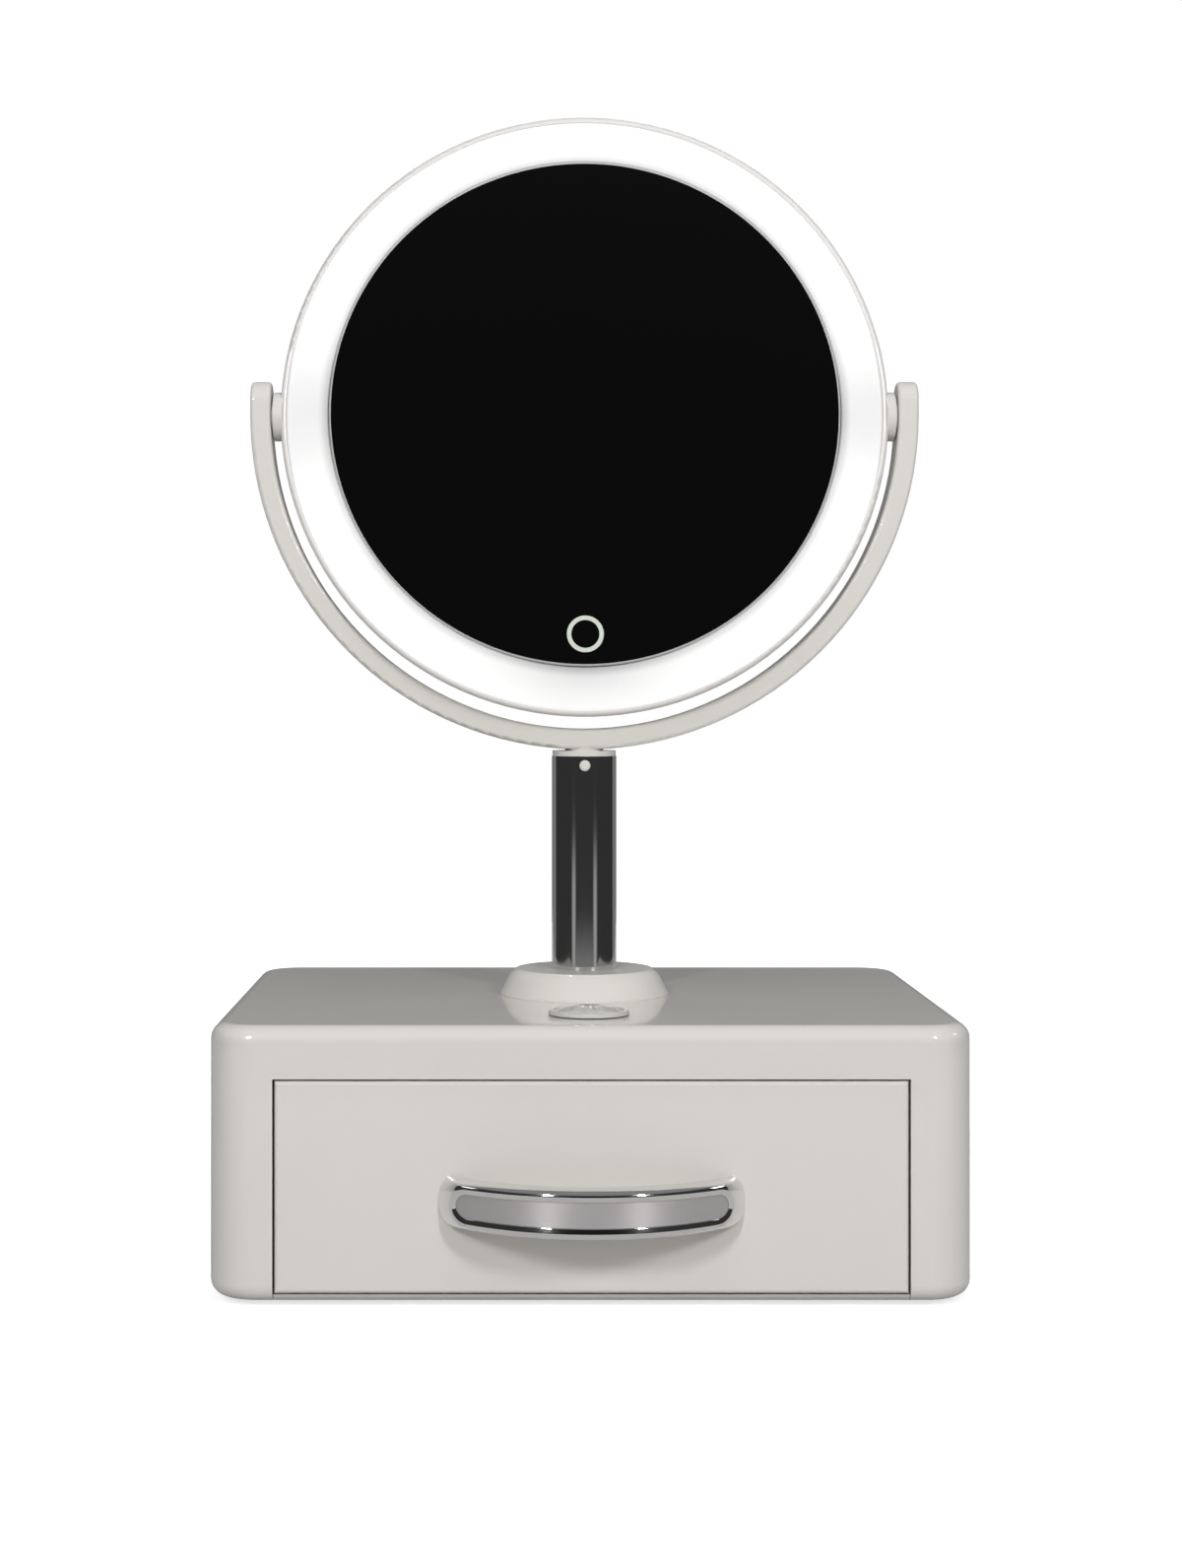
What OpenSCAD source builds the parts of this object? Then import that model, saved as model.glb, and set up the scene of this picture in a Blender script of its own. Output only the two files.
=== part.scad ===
// Vanity mirror with drawer
// A round, lit make-up mirror tilts in a half-ring yoke. The yoke plugs into a chromed post,
// and the post stands on a low rounded box that holds one drawer with a bow handle.
// Units are millimetres. The origin is the centre of the footprint on the resting plane,
// +Z is up and the drawer opens towards -Y.

/* [Base box] */
// Width of the box, side to side
base_w = 285; // [275:1:295]
// Depth of the box, front to back
base_d = 212; // [205:1:225]
// Height of the box without its feet
base_h = 102; // [100:1:104]
// Radius of the box's upright corners
corner_r = 18; // [14:1:20]
// Radius of the box's top and bottom edges
edge_r = 6; // [4:0.5:7]
// Height of the rubber feet
foot_h = 2; // [1.5:0.5:3]

/* [Drawer] */
// Width of the drawer front
front_w = 234.4; // [225:0.2:240]
// Height of the drawer front
front_h = 78.4; // [76:0.2:79]
// Gap round the drawer front
front_gap = 0.7; // [0.5:0.1:1.2]
// How far the drawer pulls out
drawer_travel = 150; // [120:5:150]

/* [Handle] */
// Length of the bow handle's front face between its two cuts at the drawer front
handle_len = 115.4; // [110:0.2:120]
// Height of the bow handle
handle_h = 19.4; // [18:0.2:20.4]
// How far the handle stands out from the drawer front
handle_reach = 28.5; // [26:0.5:30]
// Height of the handle's centre line above the resting plane
handle_z = 39.8; // [36:0.1:44]

/* [Post] */
// Outer diameter of the chromed tube
post_d = 26.5; // [26:0.1:27]
// Wall of the chromed tube
post_wall = 1.2; // [1:0.1:1.5]
// Height of the tube's top above the resting plane
post_top = 201.6; // [195:0.1:202]
// Diameter of the collar at its foot
collar_d = 69; // [64:1:74]
// Height of the collar
collar_h = 10.6; // [9:0.1:12]
// Diameter of the round medallion in front of the collar
medallion_d = 31; // [28:0.5:34]

/* [Yoke] */
// Inner radius of the half-ring yoke
yoke_r = 128; // [127.5:0.1:129]
// Thickness of the yoke, measured along its radius
yoke_t = 8.4; // [8.2:0.1:9]
// Depth of the yoke, front to back
yoke_depth = 16; // [14:0.5:17]
// Height of the tilt axis above the resting plane
pivot_z = 340.7; // [340:0.1:342]

/* [Mirror head] */
// Diameter of the mirror head
head_d = 248; // [246:0.5:248]
// Diameter of the mirror glass
glass_d = 208; // [206:0.5:208.5]
// How far the head leans back from upright, in degrees
lean = 5.5; // [0:0.5:15]
// Number of light-emitting diodes in the ring
led_count = 60; // [36:4:72]

/* [Hidden] */

$fn = 96;
fit = 0.02;      // radial room between a pressed or screwed piece and its hole
running = 0.05;  // radial room of a piece that turns or slides in a hole
eps = 0.01;      // how far a cutter passes a face

// Colours
ivory = [0.86, 0.85, 0.83];
chrome = [0.78, 0.78, 0.80];
satin_grey = [0.62, 0.60, 0.62];
steel = [0.70, 0.71, 0.73];
rubber_black = [0.12, 0.12, 0.12];
opal = [0.97, 0.97, 0.97];
white_abs = [0.93, 0.93, 0.92];
board_green = [0.10, 0.38, 0.22];
copper = [0.80, 0.48, 0.28];
felt_grey = [0.45, 0.43, 0.43];

// Base box
base_top = foot_h + base_h;
front_y = -base_d / 2;
back_y = base_d / 2;
back_wall = 12;
bay_w = front_w + 2 * front_gap;
front_z = foot_h + 3.5;
bay_top = front_z + front_h + front_gap;
bay_back = back_y - back_wall;
panel_t = 3;
panel_top = foot_h + panel_t;
panel_w = 258;
panel_front = front_y + 14;
panel_back = back_y - 6;
tongue_w = bay_w - 0.6;
panel_room = 0.1;
foot_r = 9;
foot_x = 110;
foot_y = 82;

// Countersunk wood screws that hold the base panel: shank and head radius, head and full length
wood_screw = [1.6, 3.3, 1.8, 15];
base_screw_spots = [
    for (x = [-123.4, 123.4], y = [-70, 0, 75]) [x, y],
    for (x = [-70, 70]) [x, back_y - 10]
];

// Post joint: a plate, a washer and a bolt from inside the bay
plate_size = [80, 80, 2];
washer_r = 11;
washer_t = 1.5;
bolt_r = 4;
bolt_flats = 13;
bolt_head_h = 5.3;
bolt_grip = 36;
post_r = post_d / 2;
tube_inner_r = post_r - post_wall;
plug_h = 22;
medallion_y = front_y + 37;

// Drawer
front_t = 12;
front_edge_r = 1.5;
side_t = 7;
side_w = bay_w / 2 - 1.4;
box_z = 6.2;
box_top = 76;
drawer_back_y = 85;
bottom_t = 3;
bottom_z = 9;
groove_deep = 4;
groove_room = 0.1;
liner_t = 1;
glide_t = 1;
stop_size = [30, 6, 12];
stop_gap = 0.5;
bumper_r = 5;
bumper_x = 85;

// Bow handle: the front face lies on an upright cylinder
bow_r = (handle_len * handle_len / 4 + handle_reach * handle_reach) / (2 * handle_reach);
bow_y = front_y - handle_reach + bow_r;
strap_t = 5;
tip_run = 3;         // how far each tip runs on behind the drawer front's face
handle_corner = 9;   // corner radius of the outline
corner_loss = 0.97;  // how much of each inset the corner radius loses
belly = 0.3;         // how much the long edges stand out between the corners
rim_crest = 3.1;     // distance of the rim's crest from the edge
rim_w = 5;           // rim width along the top and bottom edges
rim_stretch = 1.87;  // how much wider the rim's outer slope gets at the ends
slope_deep = 0.6;    // fall of the rim's inner slope
recess_deep = 1.6;
inlay_t = 0.8;
inlay_room = 0.12;
inlay_lift = 0.06;
handle_post_r = 4.6;
handle_hole_x = 48;
handle_screw = [2, 4, 2.4, 16];  // shank radius, head radius, head height, shank length

// Yoke, hub and snap button
yoke_edge_r = 1.6;
arm_rise = 6.3;
hub_r = 13;
hub_h = 2.2;
neck_r = 7.8;
hub_top = pivot_z - yoke_r - yoke_t / 2;
spigot_r = tube_inner_r - running;
spigot_bore_r = 10;
spigot_foot = 170;
spigot_roof = 202;
button_z = 197.9;
button_r = 2.2;
button_tip = 1.2;
button_flange_r = 3.4;
button_flange_t = 1;
button_seat = 9.3;
spring_w = 5;
spring_t = 0.5;
spring_foot = 178;
spring_far = 9.6;

// Tilt pivots
pin_r = 3;
pin_inner_x = 109;
pin_end_x = 134.4;
pin_bore_end_x = 135.2;
boss_r = 10;
boss_face_x = 127.2;
boss_block_r = 4.4;
boss_block_x = 108;
boss_root_x = 118;
washer_out_r = 6.8;
tilt_washer_t = 0.55;

// Mirror head, in its own frame: local Z points out of the glass, local Y up
head_r = head_d / 2;
ring_wall = 2.2;
ring_in_r = head_r - ring_wall;
ring_back = -11;
ring_front = 8.5;
rim_round = 1.9;
taper = 3.6;          // how much smaller the head is at its back
taper_start = 4.4;
cover_back = -13;
cover_r = head_r - taper;
cover_round = 1.9;
ledge_r = 117.5;
ledge_z = [3.4, 4.6];
diffuser_front = [10.2, 7.7];  // at the glass and at the lip
glass_r = glass_d / 2;
glass_back = 8;
glass_front = 11;
carrier_r = 99.6;
carrier_z = [5.5, 8];
carrier_rim = [96, 104, 4, 5.2];  // inner and outer radius, back and front of the rim
screw_ring_r = 90;
screw_boss_r = 4;
rear_screw = [1.3, 3, 1.4, 12];  // shank and head radius, head and full length
reflector_r = [100.5, 119];
reflector_back = -4.2;
reflector_t = 1.2;
post_ring_r = 110;
strip_r = [107, 115];
strip_t = 1;
led_size = [2.8, 3.5, 0.9];
touch_y = -91;
touch_r = [5.65, 7.45];
touch_mark_t = 0.3;
sensor_r = 7.5;
sensor_t = 1.6;
holder_y = -15;
holder_in = [60, 56];
holder_wall = 1.25;
holder_front = 4.9;
door_open = [62, 58];
door_gap = 0.3;
cell_r = 7.1;
cell_len = 48.5;
cell_pitch = 14.8;
cell_z = -3.5;
nub_r = 2.7;
nub_h = 1.3;
board_size = [64, 24, 1.6];
board_y = 42;
board_z = -6;
board_hole_x = 27;
board_hole_y = 7;

// ---------- shared shapes ----------

// Rectangle with true round corners, centred
module round_rect(size, r) {
    square([size[0] - 2 * r, size[1]], center = true);
    square([size[0], size[1] - 2 * r], center = true);
    for (x = [-1, 1], y = [-1, 1])
        translate([x * (size[0] / 2 - r), y * (size[1] / 2 - r)]) circle(r);
}

// Outer part of a slab's section, from x = 0 out to x = w, with both outer corners round
module edge_profile(w, h, r) {
    square([w - r, h]);
    translate([0, r]) square([w, h - 2 * r]);
    for (z = [r, h - r]) translate([w - r, z]) circle(r);
}

// Slab with round upright corners and round top and bottom edges, standing on z = 0
module rounded_slab(size, plan_r, r) {
    w = size[0];
    d = size[1];
    h = size[2];
    translate([-w / 2 + plan_r, -d / 2 + plan_r, 0])
        cube([w - 2 * plan_r, d - 2 * plan_r, h]);
    for (i = [0 : 3]) {
        across = i % 2 == 0 ? w : d;
        along = i % 2 == 0 ? d : w;
        rotate(90 * i) translate([across / 2 - plan_r, along / 2 - plan_r, 0]) {
            rotate([90, 0, 0]) linear_extrude(along - 2 * plan_r) edge_profile(plan_r, h, r);
            rotate_extrude(angle = 90) edge_profile(plan_r, h, r);
        }
    }
}

// Plate with round corners, standing on z = 0
module plate(size, r) {
    linear_extrude(size[2]) round_rect([size[0], size[1]], r);
}

// Flat ring standing on z = 0
module ring(r_out, r_in, h) {
    difference() {
        cylinder(r = r_out, h = h);
        translate([0, 0, -eps]) cylinder(r = r_in, h = h + 2 * eps);
    }
}

// Countersunk screw pointing up, its head's face at z = 0
module countersunk(spec, room = 0) {
    shank = spec[0] + room;
    head = spec[1] + room;
    cylinder(r = shank, h = spec[3] + room);
    cylinder(r1 = head, r2 = shank, h = spec[2]);
}

// Pan-head screw pointing up, its head below z = 0
module pan_head(spec) {
    cylinder(r = spec[0], h = spec[3]);
    translate([0, 0, -spec[2]]) cylinder(r1 = spec[1] * 0.8, r2 = spec[1], h = spec[2] * 0.4);
    translate([0, 0, -spec[2] * 0.6]) cylinder(r = spec[1], h = spec[2] * 0.6);
}

// Lays children out on a circle
module around(count, r, start = 0) {
    for (i = [0 : count - 1]) rotate(start + i * 360 / count) translate([r, 0, 0]) children();
}

// Puts children, drawn in the head's frame, where the head hangs
module in_head() {
    translate([0, 0, pivot_z]) rotate([90 - lean, 0, 0]) children();
}

// ---------- base box ----------

module box_outline() {
    translate([0, 0, foot_h]) rounded_slab([base_w, base_d, base_h], corner_r, edge_r);
}

// Lacquered shell: two sides, a top and a back, open to the front and below
module cabinet() {
    color(ivory) difference() {
        box_outline();
        translate([-bay_w / 2, front_y - 1, foot_h - 1])
            cube([bay_w, bay_back - front_y + 1, bay_top - foot_h + 1]);
        translate([-panel_w / 2 - panel_room, panel_front - panel_room, foot_h - 1])
            cube([
                panel_w + 2 * panel_room,
                panel_back - panel_front + 2 * panel_room,
                panel_t + 1
            ]);
        translate([-plate_size[0] / 2, -plate_size[1] / 2, bay_top - 1])
            cube([plate_size[0], plate_size[1], plate_size[2] + 1]);
        cylinder(r = bolt_r + 0.3, h = base_top + 1);
        for (p = base_screw_spots)
            translate([p[0], p[1], foot_h]) cylinder(r = wood_screw[0] + fit, h = wood_screw[3] + 1);
    }
}

// Base panel in its rabbet, with the tongue that closes the bay under the drawer front
module base_panel() {
    color(ivory) difference() {
        union() {
            translate([-panel_w / 2, panel_front, foot_h])
                cube([panel_w, panel_back - panel_front, panel_t]);
            intersection() {
                box_outline();
                translate([-tongue_w / 2, front_y - 1, foot_h - 1])
                    cube([tongue_w, panel_front - front_y + 2, panel_t + 1]);
            }
        }
        for (p = base_screw_spots) translate([p[0], p[1], foot_h]) countersunk(wood_screw, fit);
    }
}

module base_screws() {
    color(steel) for (p = base_screw_spots)
        translate([p[0], p[1], foot_h]) countersunk(wood_screw);
}

// One foot near each corner and one under the middle, which carries the post's weight
module feet() {
    chamfer = 0.8;
    spots = [[0, 0], for (x = [-foot_x, foot_x], y = [-foot_y, foot_y]) [x, y]];
    color(rubber_black) for (p = spots) translate([p[0], p[1], 0]) {
        cylinder(r1 = foot_r - chamfer, r2 = foot_r, h = chamfer);
        translate([0, 0, chamfer]) cylinder(r = foot_r, h = foot_h - chamfer);
    }
}

// Slip strips that the drawer's sides run on
module drawer_glides() {
    color(white_abs) for (x = [-1, 1])
        translate([x * (side_w - side_t / 2), 0, panel_top])
            plate([side_t + 1, 2 * bay_back - 24, glide_t], 3);
}

// Block under the top that meets the drawer's back when the drawer is fully out
module drawer_stop() {
    color(ivory)
        translate([
            -stop_size[0] / 2,
            drawer_back_y - side_t - drawer_travel - stop_gap - stop_size[1],
            bay_top - stop_size[2]
        ])
        cube(stop_size);
}

// Soft pads on the bay's back wall that leave the closed drawer flush
module rear_bumpers() {
    color(rubber_black) for (x = [-1, 1])
        translate([x * bumper_x, bay_back, handle_z]) rotate([90, 0, 0])
            cylinder(r1 = bumper_r, r2 = bumper_r - 1, h = bay_back - drawer_back_y - 0.1);
}

// ---------- post ----------

// Flared collar with a round shoulder and a small bead at its top edge, bored for the tube
module collar() {
    foot = collar_d / 2;
    shoulder = 8;
    middle = [foot - 10.3, collar_h - 7.4];
    slope = 27;
    bead = 0.7;
    color(ivory) translate([0, 0, base_top]) difference() {
        rotate_extrude() {
            polygon([
                [0, 0], [foot, 0], [foot, 0.6],
                [middle[0] + shoulder * cos(slope), middle[1] + shoulder * sin(slope)],
                [middle[0], collar_h], [0, collar_h]
            ]);
            intersection() {
                translate(middle) circle(shoulder);
                translate([middle[0] - eps, 0]) square([shoulder + 1, collar_h]);
            }
            translate([foot - 6.85, collar_h - bead]) circle(bead);
        }
        translate([0, 0, -1]) cylinder(r = post_r + 0.1, h = collar_h + 2);
    }
}

// Plain domed medallion with a fluted rosette
module medallion() {
    r = medallion_d / 2;
    dome_r = r - 2.9;
    dome_h = 2.7;
    ball_r = (dome_r * dome_r + dome_h * dome_h) / (2 * dome_h);
    floor_z = 1.3;
    color(chrome) translate([0, medallion_y, base_top]) difference() {
        rotate_extrude() {
            polygon([
                [0, 0], [r, 0], [r, 1.2], [r - 0.5, 1.9], [r - 1.6, 1.9], [r - 2.2, floor_z],
                [0, floor_z]
            ]);
            intersection() {
                translate([0, floor_z + dome_h - ball_r]) circle(ball_r);
                translate([0, floor_z - 0.2]) square([dome_r, dome_h + 1]);
            }
        }
        around(12, 4, 15) translate([0, 0, floor_z + dome_h + 0.15])
            rotate([0, 98, 0]) cylinder(r = 0.9, h = 12);
    }
}

module post_tube() {
    color(chrome) difference() {
        translate([0, 0, base_top]) ring(post_r, tube_inner_r, post_top - base_top);
        translate([0, 0, button_z]) rotate([90, 0, 0])
            cylinder(r = button_r + running, h = post_r + 1);
    }
}

// Threaded plug in the foot of the tube
module post_plug() {
    color(steel) translate([0, 0, base_top]) ring(tube_inner_r - fit, bolt_r + fit, plug_h);
}

module stiffener_plate() {
    color(steel) translate([0, 0, bay_top]) difference() {
        plate([plate_size[0] - 0.4, plate_size[1] - 0.4, plate_size[2]], 2);
        translate([0, 0, -1]) cylinder(r = bolt_r + 0.3, h = plate_size[2] + 2);
    }
}

module post_washer() {
    color(steel) translate([0, 0, bay_top - washer_t]) ring(washer_r, bolt_r + 0.3, washer_t);
}

module post_bolt() {
    color(steel) translate([0, 0, bay_top - washer_t - bolt_head_h]) {
        cylinder(d = bolt_flats / cos(30), h = bolt_head_h, $fn = 6);
        cylinder(r = bolt_r, h = bolt_head_h + bolt_grip);
    }
}

// ---------- yoke ----------

module yoke_section() {
    round_rect([yoke_t, yoke_depth], yoke_edge_r);
}

// Half of the section, for turning into the arms' round ends
module arm_end_section() {
    flat = yoke_depth / 2 - yoke_edge_r;
    translate([0, -yoke_t / 2]) square([flat, yoke_t]);
    translate([0, -yoke_t / 2 + yoke_edge_r]) square([yoke_depth / 2, yoke_t - 2 * yoke_edge_r]);
    for (s = [-1, 1]) translate([flat, s * (yoke_t / 2 - yoke_edge_r)]) circle(yoke_edge_r);
}

// One arm above the pivot: a straight stretch and a half-round end
module yoke_arm() {
    linear_extrude(arm_rise) yoke_section();
    translate([0, 0, arm_rise]) rotate([0, 90, 0]) rotate([0, 0, 90])
        rotate_extrude(angle = 180) arm_end_section();
}

// Half ring with two arms, blind pivot holes, and a necked hub whose hollow spigot enters the tube
module yoke() {
    middle_r = yoke_r + yoke_t / 2;
    color(ivory) difference() {
        union() {
            translate([0, 0, pivot_z]) rotate([90, 0, 0]) rotate(180)
                rotate_extrude(angle = 180) translate([middle_r, 0]) yoke_section();
            for (s = [-1, 1]) translate([s * middle_r, 0, pivot_z]) yoke_arm();
            translate([0, 0, post_top]) cylinder(r = hub_r, h = hub_h);
            translate([0, 0, post_top]) cylinder(r = neck_r, h = hub_top - post_top);
            translate([0, 0, spigot_foot]) cylinder(r = spigot_r, h = post_top + hub_h - spigot_foot);
        }
        translate([0, 0, spigot_foot - 1])
            cylinder(r = spigot_bore_r, h = spigot_roof - spigot_foot + 1);
        translate([0, 0, button_z]) rotate([90, 0, 0])
            cylinder(r = button_r + running, h = spigot_r + 1);
        for (s = [0, 1]) mirror([s, 0, 0])
            translate([yoke_r - 1, 0, pivot_z]) rotate([0, 90, 0])
                cylinder(r = pin_r + running, h = pin_bore_end_x - yoke_r + 1);
    }
}

// Button that locks the spigot in the tube, with a round nose and an inner flange
module snap_button() {
    nose = post_r + button_tip;
    nose_h = 0.6;
    start = button_seat - button_flange_t;
    color(ivory) translate([0, 0, button_z]) rotate([90, 0, 0]) {
        translate([0, 0, start]) cylinder(r = button_flange_r, h = button_flange_t);
        translate([0, 0, start]) cylinder(r = button_r, h = nose - nose_h - start);
        translate([0, 0, nose - nose_h]) cylinder(r1 = button_r, r2 = button_r - 0.7, h = nose_h);
    }
}

// U-shaped leaf between the button's flange and the spigot's far wall
module button_spring() {
    near = button_seat - button_flange_t;
    bend_r = (near + spring_far) / 2;
    bend_y = (spring_far - near) / 2;
    bend_z = spring_foot + bend_r;
    color(steel) translate([-spring_w / 2, bend_y, bend_z]) {
        for (s = [0, 1]) mirror([0, s, 0]) translate([0, bend_r - spring_t, 0])
            cube([spring_w, spring_t, button_z + button_r - bend_z]);
        rotate([0, 90, 0]) rotate(-90)
            rotate_extrude(angle = 180) translate([bend_r - spring_t, 0]) square([spring_t, spring_w]);
    }
}

// ---------- drawer ----------

module drawer_front() {
    color(ivory) difference() {
        translate([0, front_y, front_z + front_h / 2]) rotate([90, 0, 0]) translate([0, 0, -front_t]) {
            plate([front_w, front_h, front_t - front_edge_r], front_edge_r);
            soft_front();
        }
        for (s = [-1, 1]) translate([s * handle_hole_x, front_y, handle_z]) rotate([90, 0, 0])
            translate([0, 0, -front_t - 1]) cylinder(r = handle_screw[0] + 0.2, h = front_t + 2);
        translate([-side_w + side_t - groove_deep, front_y + front_t - groove_deep, bottom_z])
            cube([2 * (side_w - side_t + groove_deep), groove_deep + 1, bottom_t]);
    }
}

// The front's show face with small round edges all round
module soft_front() {
    w = front_w;
    h = front_h;
    r = front_edge_r;
    intersection() {
        translate([0, 0, front_t / 2]) rotate([90, 0, 0]) translate([0, 0, -h / 2])
            linear_extrude(h) round_rect([w, front_t], r);
        translate([0, 0, front_t / 2]) rotate([0, 90, 0]) translate([0, 0, -w / 2])
            linear_extrude(w) round_rect([front_t, h], r);
    }
}

// Side board, grooved for the bottom
module drawer_side() {
    side_front = front_y + front_t;
    difference() {
        translate([side_w - side_t, side_front, box_z])
            cube([side_t, drawer_back_y - side_front, box_top - box_z]);
        translate([side_w - side_t - 1, side_front - 1, bottom_z])
            cube([groove_deep + 1, drawer_back_y - side_front + 2, bottom_t]);
    }
}

module drawer_side_right() {
    color(ivory) drawer_side();
}

module drawer_side_left() {
    color(ivory) mirror([1, 0, 0]) drawer_side();
}

module drawer_back() {
    half = side_w - side_t;
    color(ivory) translate([-half, drawer_back_y - side_t, bottom_z + bottom_t])
        cube([2 * half, side_t, box_top - bottom_z - bottom_t]);
}

module drawer_bottom() {
    half = side_w - side_t + groove_deep - groove_room;
    start = front_y + front_t - groove_deep + groove_room;
    color(white_abs) translate([-half, start, bottom_z])
        cube([2 * half, drawer_back_y - start, bottom_t]);
}

// Felt laid on the bottom
module drawer_liner() {
    inner_front = front_y + front_t;
    inner_back = drawer_back_y - side_t;
    inner_half = side_w - side_t;
    color(felt_grey) translate([0, (inner_front + inner_back) / 2, bottom_z + bottom_t])
        plate([2 * inner_half - 0.6, inner_back - inner_front - 0.6, liner_t], 2);
}

// ---------- bow handle ----------

// Section of the strap from its back round the rim to the recess, as [distance from the edge,
// depth under the front cylinder]: a steep flank, a facet, the crest and an inner slope
rim_steps = [
    [rim_w, strap_t], [1.6, strap_t], [0.5, strap_t - 0.4], [0, strap_t - 1.2], [0.3, 3.1],
    [1.3, 0.75], [1.55, 0.47], [rim_crest - 0.2, 0.03], [rim_crest, 0],
    [rim_crest + 0.25, 0.05], [rim_w, slope_deep], [rim_w, recess_deep]
];
bow_steps = 28;  // flats along each long edge
end_steps = 16;  // flats round each end

// Half length of the handle seen from the front, at one distance from its edge
function half_reach(d) = handle_len / 2 + tip_run - d - rim_stretch * min(d, rim_crest);

// Closed outline at one distance from the edge: bellied long edges and round corners
function handle_outline(d) =
    let (
        c = handle_corner - corner_loss * d,
        half_h = handle_h / 2 - d,
        half_l = half_reach(d) - c
    )
    [
        for (s = [1, -1]) each [
            for (i = [0 : bow_steps]) let (x = 2 * i / bow_steps - 1)
                [s * half_l * x, s * (half_h - belly * x * x)],
            for (i = [1 : end_steps - 1]) let (a = 90 - 180 * i / end_steps)
                [
                    s * (half_l + c * cos(a)),
                    s * (c * sin(a) + sign(sin(a)) * (half_h - belly - c))
                ]
        ]
    ];

// Lays a front-view point at some depth under the bow's face
function on_bow(p, depth) =
    [p[0], bow_y - sqrt(pow(bow_r - depth, 2) - p[0] * p[0]), handle_z + p[1]];

// Strap with a raised rim and a recessed face
module handle_strap() {
    n = 2 * (bow_steps + end_steps);
    rows = len(rim_steps);
    points = [for (step = rim_steps, p = handle_outline(step[0])) on_bow(p, step[1])];
    walls = [
        for (j = [0 : rows - 2], i = [0 : n - 1])
            let (a = j * n + i, b = j * n + (i + 1) % n, c = a + n, e = b + n)
            each [[a, b, e], [a, e, c]]
    ];
    // Each cap is a strip between a point of the upper edge and the one below it
    cap = [
        for (m = [-end_steps / 2 : bow_steps + end_steps / 2 - 1])
            let (t = (m + n) % n, k = 2 * bow_steps + end_steps - m, u = (m + 1 + n) % n)
            each [if (u != k - 1) [t, u, k - 1], if (t != k) [t, k - 1, k]]
    ];
    last = (rows - 1) * n;
    polyhedron(
        points = points,
        faces = concat(
            walls,
            [for (f = cap) [f[0], f[2], f[1]]],
            [for (f = cap) [last + f[0], last + f[1], last + f[2]]]
        )
    );
}

// Strap, cut flat where its ends meet the drawer front, with two tapped legs behind it
module handle_bow() {
    leg_end_r = bow_r - recess_deep - 0.7;
    color(chrome) difference() {
        union() {
            difference() {
                handle_strap();
                translate([-handle_len, front_y, 0]) cube([2 * handle_len, front_t, 2 * handle_z]);
            }
            intersection() {
                for (s = [-1, 1]) translate([s * handle_hole_x, front_y, handle_z])
                    rotate([90, 0, 0]) cylinder(r = handle_post_r, h = handle_reach);
                translate([0, bow_y, 0]) cylinder(r = leg_end_r, h = 2 * handle_z);
            }
        }
        for (s = [-1, 1]) translate([s * handle_hole_x, front_y, handle_z])
            rotate([90, 0, 0]) translate([0, 0, -1]) cylinder(r = handle_screw[0] + fit, h = 4);
    }
}

// Satin strip laid in the handle's recess, with the recess's own outline
module handle_inlay() {
    d = rim_w + inlay_room;
    outer = bow_r - recess_deep + inlay_lift + inlay_t;
    color(satin_grey) intersection() {
        translate([0, bow_y, 0]) ring(outer, outer - inlay_t, base_top);
        translate([0, front_y, handle_z]) rotate([90, 0, 0])
            linear_extrude(handle_reach + 1) polygon(handle_outline(d));
    }
}

module handle_screws() {
    color(steel) for (s = [-1, 1])
        translate([s * handle_hole_x, front_y + front_t, handle_z]) rotate([90, 0, 0])
            pan_head([handle_screw[0], handle_screw[1], handle_screw[2], front_t + 2.6]);
}

// ---------- mirror head ----------

// Structural ring: a wall that tapers to the back, a ledge for the diffuser, and two pivot bosses
module head_ring() {
    boss_cut_h = boss_r - ring_back + 1;
    color(ivory) in_head() difference() {
        union() {
            rotate_extrude() {
                polygon([
                    [cover_r - ring_wall, ring_back], [cover_r, ring_back], [head_r, taper_start],
                    [head_r, ring_front - rim_round], [ring_in_r, ring_front - rim_round],
                    [ring_in_r, taper_start]
                ]);
                translate([ring_in_r, ring_front - rim_round - eps])
                    square([ring_wall - rim_round, rim_round + eps]);
                intersection() {
                    translate([head_r - rim_round, ring_front - rim_round]) circle(rim_round);
                    translate([ring_in_r, ring_front - rim_round - 1])
                        square([ring_wall, rim_round + 1]);
                }
                translate([ledge_r, ledge_z[0]])
                    square([ring_in_r - ledge_r + eps, ledge_z[1] - ledge_z[0]]);
            }
            for (s = [0, 1]) mirror([s, 0, 0]) rotate([0, 90, 0]) {
                translate([0, 0, boss_block_x])
                    cylinder(r = boss_block_r, h = boss_face_x - boss_block_x);
                intersection() {
                    translate([0, 0, boss_root_x]) rotate_extrude()
                        edge_profile_top(boss_r, boss_face_x - boss_root_x, 0.8);
                    rotate([0, -90, 0]) translate([0, 0, ring_back]) difference() {
                        cylinder(r = head_r + 10, h = boss_cut_h);
                        cylinder(r1 = cover_r - 1, r2 = head_r - 0.4, h = boss_cut_h);
                    }
                }
            }
        }
        for (s = [0, 1]) mirror([s, 0, 0]) translate([boss_block_x - 1, 0, 0])
            rotate([0, 90, 0]) cylinder(r = pin_r + fit, h = boss_face_x - boss_block_x + 2);
    }
}

// Round-edged disc section from the axis out to r, with only the top corner round
module edge_profile_top(r, h, round) {
    square([r - round, h]);
    square([r, h - round]);
    translate([r - round, h - round]) circle(round);
}

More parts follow.
